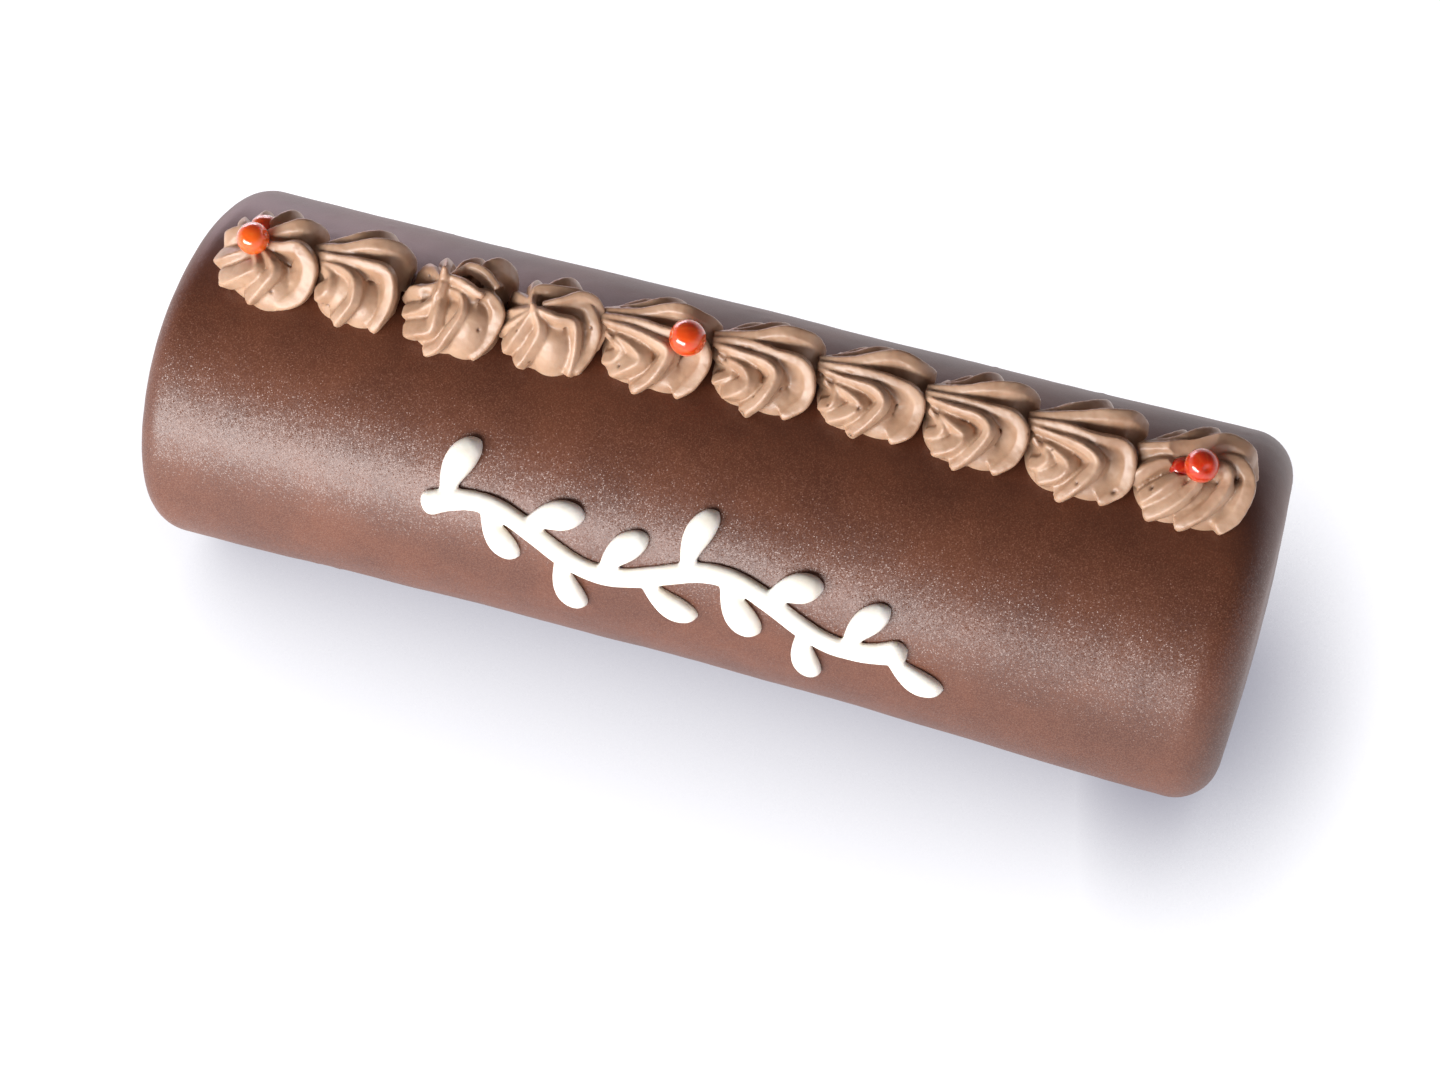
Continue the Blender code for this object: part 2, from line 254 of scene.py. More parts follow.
def addSoftbox(name, s):
    light = bpy.data.lights.new(name, "AREA")
    light.shape = "RECTANGLE"
    light.size, light.size_y = s["size"]
    light.energy = s["radiance"] * math.pi * s["size"][0] * s["size"][1]
    light.color = s["color"]
    softbox = bpy.data.objects.new(name, light)
    softbox.location = s["place"]
    softbox.rotation_mode = "QUATERNION"
    softbox.rotation_quaternion = (s["aim"] - s["place"]).to_track_quat("-Z", "Y")
    softbox.visible_camera = False
    bpy.context.scene.collection.objects.link(softbox)


def addWorld(s):
    world = bpy.data.worlds.new("studio")
    bpy.context.scene.world = world
    world.use_nodes = True
    tree = world.node_tree
    place = tree.nodes.new("ShaderNodeTexCoord")
    split = tree.nodes.new("ShaderNodeSeparateXYZ")
    ramp = tree.nodes.new("ShaderNodeValToRGB")
    ramp.color_ramp.elements[0].position = s["horizonTop"]
    ramp.color_ramp.elements[0].color = (*s["horizon"], 1)
    ramp.color_ramp.elements[1].position = s["zenithFrom"]
    ramp.color_ramp.elements[1].color = (*s["zenith"], 1)
    tree.links.new(place.outputs["Generated"], split.inputs[0])
    tree.links.new(split.outputs["Z"], ramp.inputs["Fac"])
    tree.links.new(ramp.outputs["Color"], tree.nodes["Background"].inputs["Color"])


def addFloor(s):
    bm = bmesh.new()
    bmesh.ops.create_grid(bm, x_segments=1, y_segments=1, size=s["floorSize"] / 2)
    white, tree, shader, place = startMaterial("paleFloor")
    openness = tree.nodes.new("ShaderNodeAmbientOcclusion")
    openness.samples = s["shadeSamples"]
    openness.inputs["Distance"].default_value = s["shadeReach"]
    # a fixed patch round the right end, where the painted shadow deepens
    spot = tree.nodes.new("ShaderNodeMapping")
    for axis in range(3):
        scale = 1 / s["endPaintedShadowReach"][axis]
        spot.inputs["Scale"].default_value[axis] = scale
        spot.inputs["Location"].default_value[axis] = -s["endPaintedShadowPlace"][axis] * scale
    tree.links.new(place, spot.inputs["Vector"])
    paintedShadowNearness = tree.nodes.new("ShaderNodeTexGradient")
    paintedShadowNearness.gradient_type = "SPHERICAL"
    tree.links.new(spot.outputs[0], paintedShadowNearness.inputs["Vector"])
    paintedShadowDepth = addRange(tree, paintedShadowNearness.outputs["Fac"], 0, 1, 1, s["endPaintedShadow"])
    # painted shadow: the glow is dimmed near the cake by ambient occlusion, and more within the patch
    light = addMath(tree, "POWER", openness.outputs["AO"], paintedShadowDepth)
    tree.links.new(addMix(tree, light, s["floorPaintedShadow"], s["floorGlow"]), shader.inputs["Emission Color"])
    setInputs(shader, Base_Color=(*s["floorColor"], 1), Roughness=s["floorRoughness"],
              Specular_IOR_Level=0, Emission_Strength=1)
    floor = addPiece("floor", bm, white, bounds=None)


addCamera(cameraSettings)
addWorld(studio)
addFloor(studio)
for name, box in softboxes.items():
    addSoftbox(name, box)
bpy.context.scene.view_settings.view_transform = "Standard"
print("camera, floor and light are in place")


# the noise values between which a patch's colour, and then its roughness, goes through its whole range
patchEdges = (0.35, 0.65)
cloudEdges = (0.3, 0.7)

glazeFinish = {
    "dark": srgb(80, 39, 22),
    "light": srgb(95, 50, 30),
    "speck": srgb(150, 106, 82),
    "patchSize": 22 * mm,
    "pebbleSize": 3.0 * mm,
    "pebbleHeight": 0.02 * mm,
    "grainSize": 0.5 * mm,
    "grainHeight": 0.04 * mm,
    "matt": 0.45,
    "gloss": 0.6,
    # crumbs of cocoa, each a tiny mirror with its own tilt; they thin out toward the back, so their lighter
    # colour stays on the front under the highlight band, partly as painted sparkle
    "crumbSize": 0.38 * mm,
    "crumbRim": (0.62, 0.36),  # in cell widths from a crumb's middle: where it begins and where it is full
    "crumbTilt": 0.44,
    "crumbShine": 0.38,
    "crumbTone": 0.20,
    "crumbAndPaintedSparkleFade": (-22 * mm, 4 * mm),  # they fade from here to here, over the crest to the back
    "crumbsAndPaintedSparkleBehind": 0.12,  # share of them that is left there
}


def makeGlaze(s):
    finish, tree, shader, place = startMaterial("chocolateGlaze")
    patches = addNoise(tree, place, s["patchSize"], 3, 0.6)
    grain = addNoise(tree, place, s["grainSize"], 2, 0.6)
    pebbles = addNoise(tree, place, s["pebbleSize"], 2, 0.5)
    crumbs = tree.nodes.new("ShaderNodeTexVoronoi")
    crumbs.inputs["Scale"].default_value = 1 / s["crumbSize"]
    tree.links.new(place, crumbs.inputs["Vector"])
    split = tree.nodes.new("ShaderNodeSeparateXYZ")
    tree.links.new(place, split.inputs[0])
    # fewer crumbs toward the back: their lighter colour, kept on the lit front, is partly painted sparkle
    fade = addRange(tree, split.outputs["Y"], *s["crumbAndPaintedSparkleFade"], 1, s["crumbsAndPaintedSparkleBehind"])
    crumb = addRange(tree, crumbs.outputs["Distance"], *s["crumbRim"], 0, 1)
    shown = addMath(tree, "MULTIPLY", crumb, fade)

    color = addMix(tree, addRange(tree, patches, *patchEdges, 0, 1), s["dark"], s["light"])
    color = addMix(tree, addRange(tree, shown, 0, 1, 0, s["crumbTone"]), color, s["speck"])
    tree.links.new(color, shader.inputs["Base Color"])
    tree.links.new(addRange(tree, shown, 0, 1, s["matt"], s["crumbShine"]), shader.inputs["Roughness"])

    normal = addBump(tree, pebbles, s["pebbleHeight"])
    normal = addBump(tree, grain, s["grainHeight"], normal)
    tilt = addVector(tree, "SUBTRACT", crumbs.outputs["Color"], (0.5, 0.5, 0.5))
    tilt = addVector(tree, "SCALE", tilt, addRange(tree, shown, 0, 1, 0, s["crumbTilt"]))
    normal = addVector(tree, "NORMALIZE", addVector(tree, "ADD", normal, tilt))
    tree.links.new(normal, shader.inputs["Normal"])
    setInputs(shader, Specular_IOR_Level=s["gloss"])
    return finish


creamFinish = {
    "light": srgb(183, 149, 123),
    "dark": srgb(162, 126, 100),
    # painted shade that darkens the pressed-in pits and holes
    "paintedShadePit": srgb(84, 50, 32),
    "patchSize": 9 * mm,
    "grainSize": 0.8 * mm,
    "grainHeight": 0.05 * mm,
    "roughness": (0.34, 0.46),
    "gloss": 0.6,
    "glow": 0.2,  # share of the light that comes from under the surface
    "glowReach": (2.0 * mm, 1.0 * mm, 0.6 * mm),
}


def makeCream(s):
    finish, tree, shader, place = startMaterial("cocoaCream")
    patches = addNoise(tree, place, s["patchSize"], 3, 0.6, 0.4)
    grain = addNoise(tree, place, s["grainSize"], 3, 0.6)
    pits = tree.nodes.new("ShaderNodeAttribute")
    pits.attribute_name = "paintedShadePit"
    color = addMix(tree, addRange(tree, patches, *patchEdges, 0, 1), s["dark"], s["light"])
    # painted shade: the pits are darkened towards this colour
    color = addMix(tree, pits.outputs["Fac"], color, s["paintedShadePit"])
    tree.links.new(color, shader.inputs["Base Color"])
    tree.links.new(addRange(tree, patches, *cloudEdges, *s["roughness"]), shader.inputs["Roughness"])
    tree.links.new(addBump(tree, grain, s["grainHeight"]), shader.inputs["Normal"])
    setInputs(shader, Specular_IOR_Level=s["gloss"], Subsurface_Weight=s["glow"], Subsurface_Scale=1,
              Subsurface_Radius=s["glowReach"])
    return finish


currantFinish = {
    "orange": (0.95, 0.15, 0.012),
    "red": (0.62, 0.022, 0.005),
    "vein": (0.95, 0.26, 0.04),
    "cloudSize": 2 * mm,
    "roughness": (0.10, 0.18),
    "gloss": 0.5,
    "clear": 0.30,
    "bending": 1.36,  # the juice's refractive index
    "skinRoughness": 0.02,
    "glow": 0.8,
    "glowReach": (4 * mm, 1.0 * mm, 0.3 * mm),
}


def makeCurrant(s):
    finish, tree, shader, place = startMaterial("redcurrantSkin")
    marks = []
    for name in ("ripe", "vein"):
        mark = tree.nodes.new("ShaderNodeAttribute")
        mark.attribute_name = name
        marks.append(mark.outputs["Fac"])
    flesh = addMix(tree, marks[0], s["orange"], s["red"])
    tree.links.new(addMix(tree, marks[1], flesh, s["vein"]), shader.inputs["Base Color"])
    clouds = addNoise(tree, place, s["cloudSize"], 2, 0.5)
    tree.links.new(addRange(tree, clouds, *cloudEdges, *s["roughness"]), shader.inputs["Roughness"])
    setInputs(shader, Specular_IOR_Level=s["gloss"], Transmission_Weight=s["clear"], IOR=s["bending"],
              Coat_Weight=1, Coat_Roughness=s["skinRoughness"], Subsurface_Weight=s["glow"],
              Subsurface_Scale=1, Subsurface_Radius=s["glowReach"])
    return finish


icingFinish = {
    "white": srgb(250, 247, 240),
    "cream": srgb(240, 233, 220),
    "patchSize": 6 * mm,
    "grainSize": 0.7 * mm,
    "grainHeight": 0.02 * mm,
    "roughness": (0.32, 0.45),
    "glow": 0.15,
    "glowReach": (1.5 * mm, 1.2 * mm, 0.9 * mm),
}


def makeIcing(s):
    finish, tree, shader, place = startMaterial("whiteIcing")
    patches = addNoise(tree, place, s["patchSize"], 2, 0.5)
    grain = addNoise(tree, place, s["grainSize"], 2, 0.5)
    color = addMix(tree, addRange(tree, patches, *patchEdges, 0, 1), s["white"], s["cream"])
    tree.links.new(color, shader.inputs["Base Color"])
    tree.links.new(addRange(tree, patches, *cloudEdges, *s["roughness"]), shader.inputs["Roughness"])
    tree.links.new(addBump(tree, grain, s["grainHeight"]), shader.inputs["Normal"])
    setInputs(shader, Subsurface_Weight=s["glow"], Subsurface_Scale=1, Subsurface_Radius=s["glowReach"])
    return finish


glaze = makeGlaze(glazeFinish)
cream = makeCream(creamFinish)
currantSkin = makeCurrant(currantFinish)
icing = makeIcing(icingFinish)
print("materials are made")


logShape = {
    "length": 300 * mm,
    "halfWidth": 50.8 * mm,
    "halfHeight": 45.9 * mm,
    "endDome": 1.5 * mm,
    "rimLeft": 8 * mm,
    "rimRight": 12 * mm,
    "sag": 0.11,
    "sagAngles": (math.radians(115), math.radians(150)),
    # a waver's phases are where it begins along the log and round it
    "slowWaver": 0.45 * mm,
    "slowPhases": (0.9, 0.5),
    "quickWaver": 0.30 * mm,
    "quickPhases": (0.4, 0.7),
    "quickTurns": 2.2,
    "slack": 1.5 * mm,  # how far the lower front draws in at the middle of the log
    "slackTurns": 0.95,
    "slackAngle": math.radians(-105),
    "slackSpread": 0.55,
    "columns": 240,
    "sideRings": 220,
    "rimRings": 12,
    "endRings": 16,
    "waveHeight": 0.30 * mm,
    "waveSize": 26 * mm,
    "lumpHeight": 0.07 * mm,
    "lumpSize": 5 * mm,
    "lumpOffset": Vector((7, 3, 5)),
    "endReach": 20 * mm,  # this near an end the lumps begin to stand out endwards
    "restHeight": 1.5 * mm,  # below it the log keeps its flat underside
    "seed": 11,
    "pimples": 90,
    "pimpleSpan": 0.47,  # of the length, to either side of the middle
    "pimpleAngle": 125,  # degrees from the top
    "pimpleHeight": 0.22 * mm,
    "pimpleReach": 0.9 * mm,
}


def logWaver(x, angle):  # how far the hand-rolled side stands out from a true section
    s = logShape
    turns = math.tau * x / s["length"]
    along, around = s["slowPhases"]
    slow = s["slowWaver"] * math.cos(turns + along) * math.cos(angle + around)
    along, around = s["quickPhases"]
    quick = s["quickWaver"] * math.cos(s["quickTurns"] * turns + along) * math.sin(2 * angle + around)
    lowerFront = math.exp(-(((angle - s["slackAngle"]) / s["slackSpread"]) ** 2))
    return slow + quick - s["slack"] * math.cos(s["slackTurns"] * turns) * lowerFront


# y and z of the log's skin; the angle is from its top, and + to its back
def logSection(x, angle, inset=0.0):
    s = logShape
    full = 1 + s["sag"] * smoothStep(abs(angle), *s["sagAngles"])
    out = logWaver(x, angle) - inset
    y = (s["halfWidth"] + out) * math.sin(angle)
    return y, max(0, s["halfHeight"] + (s["halfHeight"] * full + out) * math.cos(angle))


def logTop(x, y):  # height of the log's skin over a point
    angle = math.asin(clamp(y / logShape["halfWidth"], -1, 1))
    for _ in range(4):
        angle += (y - logSection(x, angle)[0]) / logShape["halfWidth"]
    return logSection(x, angle)[1]


# rings from the middle of an end to its side, as (x, inset, share of the section)
def logEnd(side, rim):
    s = logShape
    end = side * s["length"] / 2
    rings = []
    for step in range(s["endRings"]):
        share = step / s["endRings"]
        rings.append((end + side * s["endDome"] * (1 - share**2), rim, share))
    for step in range(s["rimRings"] + 1):
        turn = math.pi / 2 * step / s["rimRings"]
        rings.append((end - side * rim * (1 - math.cos(turn)), rim * (1 - math.sin(turn)), 1))
    return rings


def scatterPimples(s):  # seeded places of the tiny bumps in the glaze
    draw = random.Random(s["seed"])
    tree = kdtree.KDTree(s["pimples"])
    for number in range(s["pimples"]):
        x = draw.uniform(-s["pimpleSpan"], s["pimpleSpan"]) * s["length"]
        angle = math.radians(draw.uniform(-s["pimpleAngle"], s["pimpleAngle"]))
        tree.insert(Vector((x, *logSection(x, angle))), number)
    tree.balance()
    return tree


def buildLog(s):
    left = logEnd(-1, s["rimLeft"])
    right = logEnd(1, s["rimRight"])[::-1]
    start, end = left[-1][0], right[0][0]
    side = [(mix(start, end, step / s["sideRings"]), 0, 1) for step in range(1, s["sideRings"])]
    rings = left + side + right
    pimples = scatterPimples(s)

    def place(column, ring):
        x, inset, share = rings[ring]
        angle = math.tau * column / s["columns"] - math.pi
        middle = Vector((x, 0, s["halfHeight"]))
        skin = middle.lerp(Vector((x, *logSection(x, angle, inset))), share)
        heart = Vector((clamp(x, start + s["endReach"], end - s["endReach"]), 0, s["halfHeight"]))
        outward = (skin - heart).normalized()
        height = s["waveHeight"] * noise.noise(skin / s["waveSize"])
        height += s["lumpHeight"] * noise.noise(skin / s["lumpSize"] + s["lumpOffset"])
        distance = pimples.find(skin)[2] / s["pimpleReach"]
        height += s["pimpleHeight"] * math.exp(-(distance**2)) if distance < 3 else 0
        moved = skin + outward * height
        if skin.z < s["restHeight"]:
            moved.z = skin.z
        return moved

    return addPiece("glazedLog", shapeSphere(s["columns"], len(rings) - 1, place), glaze)


dressNode(buildLog(logShape), "glaze", "log")
print("log is built")


shellRow = {
    "start": -141 * mm,
    "overlap": 1 * mm,
    # its shape, length, width and offset to the back in mm, and how blunt its tips are
    "shells": (
        ("berryNest", 31.0, 29.5, -1.0, 1.0),
        ("fan", 25.0, 28.5, -0.5, 0.9),
        ("tornPeak", 29.5, 31.5, -1.5, 0.7),
        ("apex", 28.0, 30.0, 0.0, 0.8),
        ("tailed", 31.0, 28.5, 2.0, 0.4),
        ("tailed", 29.0, 27.6, 3.3, 1.0),
        ("tailed", 29.5, 27.2, 4.2, 0.9),
        ("tailed", 28.0, 29.5, 3.8, 0.3),
        ("tailed", 29.0, 30.0, 3.0, 0.3),
        ("curled", 31.0, 30.0, 2.0, 0.4),
    ),
    "seed": 3,
    "wander": 0.3 * mm,
    "wanderFrom": 4 * mm,  # below this height the points of a ridge wander less
    "uneven": 0.08,
    "ridgeSides": 24,
    "ridgeSteps": 44,
    "ridgeRoot": 0.55,  # share of its radius that a ridge has where it starts
    "ridgeFull": 0.6,  # and the share of its length after which it has all of it
    "ridgeDepth": 2.8,  # how much further a ridge reaches inwards than outwards
    "ridgeFlare": (0.55, 1.3),  # and how much wider it gets there, at its crown and at its tip
    "flareSpan": (0.45, 0.95),  # the shares of its length between which it goes from one to the other
    "ridgeEdge": 0.62,  # how much its crest narrows
    "heartPlace": (0.8, 0.25, 0.25),  # its flanks point at this share of its own place,
    "heartSpan": (-10 * mm, 7 * mm),  # which stays within this span along the log
    # how blunt the first, second and other tips are, where None takes the shell's own value
    "tipBlunts": (0.15, None, 1.0),
    "bluntUneven": (0.8, 1),
    "heartSides": 48,
    "heartRings": 32,
    "peakHollow": 1.5,
    "peakTip": 0.5 * mm,
    "voxel": 0.36 * mm,
    "softenings": 3,
    "sunk": 0.2 * mm,
    "waveHeight": 0.30 * mm,
    "waveSize": 6 * mm,
    "lumpHeight": 0.07 * mm,
    "lumpSize": 1.5 * mm,
    "pits": 4,
    "pitHeights": (3 * mm, 11 * mm),
    "pitReach": (0.30 * mm, 0.60 * mm),
    "pitDepth": 1.2,  # in reaches
    "curlFrom": 0.85,  # a blunter shell has a hole where its hook curls in
    "curlReach": 1.0 * mm,
    # the hollow round the lowest berry: over its floor the cream rises outwards
    "nestPlace": (122.2 * mm, -0.6 * mm),
    "nestFloor": 10.6 * mm,
    "nestReach": 2.4 * mm,
    "nestSlope": 1.0,
    "nestGive": 0.12,  # share of its height above the hollow that the cream keeps
}

# What each kind of shell is piped from, in mm: x along the log, y to the back and z up from the log.
# A kind with a size is stretched to its shell's length and width. A ridge is its radius and the points
# that its middle passes, from where the cream gathers to its tip. A peak is a cone's radius and points.
# A heart is the middle and the half sizes of a plain swelling under the ridges. A hole is its place and
# reach, and a curl is the place of the hole that a blunt hook curls round.
creamShapes = {
    "tailed": {
        "size": (28.0, 29.5),
        "ridges": (
            (1.9, (-13.7, -0.8, 10.7), (-5, -1.6, 12.6), (3, -2.9, 13.7), (9.7, -2.8, 12.8),
             (13.0, -4.9, 8.6), (12.0, -9.0, 3.8), (7.6, -13.0, 0.9)),
            (1.7, (-13.5, -1.7, 10.0), (-6, -4.0, 11.7), (1.0, -6.4, 12.6), (4.9, -8.6, 11.5),
             (2.2, -12.2, 7.0), (-2.4, -15.1, 1.4)),
            (2.6, (-9.5, -4.6, 8.6), (-4, -7.4, 9.2), (-1.2, -9.2, 7.9), (-3.6, -10.8, 5.4),
             (-8.6, -11.0, 1.8)),
            (2.3, (-11.5, -3.6, 8.0), (-8, -5.8, 7.9), (-6.6, -7.4, 6.6), (-8.2, -8.6, 4.8),
             (-11.4, -8.0, 2.4)),
            (2.2, (-13.7, 0.8, 10.8), (-4.5, 1.3, 13.6), (4.5, 3.2, 16.0), (10.4, 4.8, 14.2),
             (12.4, 6.6, 8.2), (8.6, 12.2, 1.0)),
            (2.1, (-13.2, 1.8, 10.2), (-6, 3.6, 12.2), (-0.5, 7.4, 12.8), (2.6, 11.0, 9.2),
             (0, 14.4, 1.2)),
            (2.1, (-12.6, 2.4, 9.2), (-7.2, 6.2, 9.6), (-4.2, 10.2, 7.6), (-6.6, 13.0, 1.2)),
            (1.9, (-12.0, 2.5, 8.4), (-9.4, 6.0, 7.2), (-12.4, 8.6, 2.0)),
        ),
        "hearts": ((0.2, 0, 0, 10.6, 11.0, 9.6), (-7, 0, 5.2, 7.6, 4.2, 4.8), (-4.6, 0, 0, 9.0, 11.9, 7.6),
                   (3.5, -4, 0, 8.5, 8.0, 6.0)),
        "holes": ((-9.6, -5.2, 9.2, 1.1), (-13.0, -3.2, 8.4, 0.9)),
        "curl": (-2.2, -16.0, 2.4),
    },
    "fan": {
        "size": (28.0, 29.5),
        "ridges": (
            (1.8, (-13.7, -0.8, 10.7), (-5, -1.9, 12.6), (3, -2.9, 13.8), (9.9, -2.8, 13.4),
             (12.9, -5.2, 9.2), (11.6, -9.4, 4.4), (8.6, -13.6, 0.9)),
            (1.9, (-11, -2.5, 9.6), (-3, -4.9, 11.8), (2.6, -7.2, 11.9), (3.2, -10.2, 9.0),
             (0.2, -12.9, 5.4), (-3.2, -14.6, 2.2)),
            (3.3, (-10, -3.0, 8.6), (-5.4, -5.9, 8.7), (-5.6, -8.4, 6.8), (-10.2, -8.8, 3.0)),
            (2.3, (-13.7, 0.8, 10.8), (-4.5, 1.3, 13.6), (4.5, 3.2, 16.0), (10.4, 4.8, 14.2),
             (12.8, 6.6, 8.2), (9.6, 12.2, 1.0)),
            (2.0, (-13.2, 1.8, 10.2), (-5, 4.4, 13.0), (2.0, 8.0, 13.8), (5.2, 11.0, 9.8),
             (3, 14.4, 1.2)),
            (2.1, (-12.6, 2.4, 9.2), (-7.2, 6.2, 9.6), (-4.2, 10.2, 7.6), (-6.6, 13.0, 1.2)),
            (1.9, (-12.0, 2.5, 8.4), (-9.4, 6.0, 7.2), (-12.4, 8.6, 2.0)),
        ),
        "hearts": ((0.4, 0, 0, 10.8, 11.0, 9.8), (-7, 0, 5.2, 7.6, 4.2, 4.8), (-4.6, 0, 0, 9.0, 11.9, 7.6),
                   (3.5, -4, 0, 8.5, 8.6, 8.4), (-1.5, -3.5, 2, 9, 8.6, 8.6)),
        "curl": (-3.6, -15.6, 2.6),
    },
    "curled": {
        "ridges": (
            (2.1, (-3, -2, 10.8), (3.4, -1.0, 12.8), (7.6, -2.0, 12.4), (8.4, -5.6, 9.8),
             (4.8, -10.2, 5.6), (-1.2, -14.2, 1.6)),
            (2.4, (0, -4, 10.6), (0.6, -6.8, 10.6), (-1.2, -9.6, 7.8), (-5.4, -12.2, 4.2),
             (-9.4, -13.4, 1.6)),
            (2.1, (2.0, -0.6, 11.4), (6.6, 1.2, 13.2), (11.0, 1.0, 12.4), (13.8, -3.0, 8.6),
             (12.6, -8.4, 4.0), (8.2, -11.8, 1.4)),
            (2.5, (-2.4, -3.6, 10.4), (-4.8, -6.2, 9.8), (-8.0, -8.4, 6.8), (-11.6, -9.8, 2.8)),
            (2.3, (-5, -1.6, 10.8), (-9.2, -3.2, 10.2), (-12.4, -4.6, 7.2), (-14.6, -5.6, 3.4)),
            (2.2, (-15.2, 0.6, 10.6), (-8, 0.8, 12.8), (-1, 2.6, 14.8), (5.4, 5.0, 15.8),
             (10.6, 5.8, 13.6), (13.2, 4.8, 8.4), (13.2, 2.8, 4.0)),
            (2.1, (-14.4, 1.8, 10.2), (-7, 3.6, 12.2), (-1.5, 7.4, 12.6), (2.2, 11.0, 9.2),
             (0.6, 14.4, 1.2)),
            (2.1, (-2, 4.4, 11.6), (3.0, 8.4, 12.4), (6.4, 10.8, 9.0), (6.8, 13.6, 1.2)),
            (2.1, (-13.6, 2.4, 9.2), (-7.8, 6.2, 9.6), (-4.6, 10.2, 7.6), (-7.0, 13.0, 1.2)),
            (1.9, (-13.0, 2.5, 8.4), (-10.4, 6.0, 7.2), (-13.4, 8.6, 2.0)),
        ),
        "hearts": ((0.4, 0, 0, 11.6, 11.2, 9.8), (-7.5, 0, 5.2, 8.2, 4.2, 4.8), (-5, 0, 0, 9.8, 11.9, 7.6),
                   (3.5, -3.6, 0, 8.8, 8.0, 7.0)),
        "holes": ((10.2, -2.6, 10.4, 1.1), (2.0, -9.6, 8.4, 0.7)),
    },
    "berryNest": {
        "ridges": (
            (2.5, (0, -1.5, 10.4), (6.3, -2.3, 12.6), (11.3, -1.8, 13.4), (14.6, -4.2, 9.4),
             (13.2, -9, 3.4), (7.4, -12.3, 1.0)),
            (2.0, (-0.5, -2.2, 10), (4.8, -5.4, 10.9), (6.6, -8.2, 9.8), (4.4, -10.8, 7),
             (-0.4, -13.0, 2.0)),
            (3.0, (-1, -3, 9.6), (2.0, -7.2, 9.2), (-0.6, -9.2, 7.6), (-5.6, -9.6, 4.6),
             (-9.6, -9.2, 2.0)),
            (3.0, (-2, -2.5, 9.3), (-5, -4.0, 7.6), (-9.4, -4.2, 4.8), (-12.0, -3.2, 2.0)),
            (2.8, (-2, 0.5, 9.6), (-6, 1.9, 10.6), (-9.4, 0.8, 8.0), (-11.0, 1.6, 4), (-11.6, 2.2, 1.6)),
            (2.5, (0, 1.6, 10.8), (5, 2.4, 13.8), (9.5, 4.8, 14.4), (12.7, 7.2, 10.2), (11, 11.4, 1.6)),
            (2.2, (-1, 2.6, 10.6), (2, 6, 12.6), (4.5, 10.2, 10.4), (4.8, 13.8, 1.2)),
            (2.2, (-2.5, 3, 10.2), (-4, 6.7, 10.4), (-3.6, 10.3, 7.8), (-4.5, 13.2, 1.2)),
            (2.1, (-3.5, 2, 9.6), (-7.5, 5, 8.6), (-10.2, 8, 5.4), (-11, 10, 1.2)),
        ),
        "hearts": ((1, -0.2, 0, 12.2, 11.4, 10.4), (4, -4, 0, 8.5, 9.2, 7.5)),
        "holes": ((8.6, -5.2, 11.4, 0.9),),
        "curl": (-11.4, -11.4, 2.2),
    },
    "tornPeak": {
        "ridges": (
            (2.2, (6.4, -2.2, 13.0), (9.6, -1.8, 14.0), (12.9, -1.4, 13.2), (14.9, -4, 9),
             (13.2, -8.6, 4), (9.9, -12.8, 1.0)),
            (1.6, (1, -3, 13.4), (5.4, -4.6, 13.8), (6.6, -8.0, 12.4), (4.2, -11.8, 8.6),
             (0.8, -14.0, 4.6), (-2.8, -15.0, 1.5)),
            (2.8, (0, -4, 12.4), (0.2, -8.6, 10.0), (-1.8, -10.4, 7.6), (-5, -10.8, 5.2),
             (-9.4, -10.2, 2)),
            (2.4, (-1, -3.5, 12.4), (-3.0, -6.0, 10.4), (-6, -7.0, 7.6), (-11.2, -6.4, 3.4)),
            (2.3, (-2, -1, 12.2), (-6, -2.2, 10.8), (-10.0, -1.6, 7.6), (-12.4, -1.4, 2)),
            (3.2, (5, 3.6, 9), (8.4, 5.6, 13.8), (11.0, 8.2, 13.8), (13.2, 9.4, 9), (11.4, 12, 2)),
            (1.0, (-1, 0.6, 13.4), (2.2, 3.2, 15.6), (5.8, 4.0, 16.6), (9.6, 3.2, 16.4),
             (13.2, 0.8, 13.6)),
            (1.9, (0, 3, 12.2), (1.6, 7, 12.6), (4, 10.6, 10.8), (5, 13.8, 6), (4, 15, 1.2)),
            (1.9, (-2, 2.5, 12.2), (-3.5, 6.5, 11.4), (-4.5, 10.7, 8.2), (-5, 14, 1.2)),
            (1.9, (-3, 1, 12.2), (-7, 4, 10.5), (-10.5, 7, 6.5), (-12.2, 9, 1.2)),
            (1.5, (-1.1, -9.4, 8.6), (-0.9, -6.6, 11.8), (-0.5, -4.2, 14.4), (-0.4, -2.8, 16.2)),
            (1.3, (-0.2, -1.2, 16.6), (3.6, -1.8, 17.0), (7.4, -2.4, 16.4), (10.8, -3.4, 14.2)),
        ),
        "peak": (4.6, (-0.6, -2.6, 8), (-0.4, -2.3, 14), (-0.1, -1.6, 20.4)),
        "hearts": ((0.2, -0.2, 0, 11.6, 12.4, 10.6), (-1, -1, 6, 5, 5, 7), (6.5, -4.5, 2, 8, 8.4, 10.5)),
        "holes": ((9.0, 1.4, 11.0, 1.8), (9.8, -4.2, 13.4, 0.9), (-5.6, -4.8, 10.6, 1.1)),
    },
    "apex": {
        "ridges": (
            (1.6, (-2, -5.3, 15.4), (3.4, -5.5, 15.0), (8.0, -5.6, 12.6), (9.4, -8, 6.5),
             (8.4, -12.6, 1)),
            (1.8, (-1, -3, 14.8), (4, -0.8, 14.4), (8.8, 0.9, 13.4), (12.4, -1.2, 9.2), (12.8, -5.6, 4.4),
             (9.6, -11.2, 1)),
            (2.5, (-2.3, -6, 15.0), (-0.2, -8.6, 12.0), (-1.2, -10.6, 8.8), (-3.8, -12.2, 5),
             (-5.2, -13.4, 2.0)),
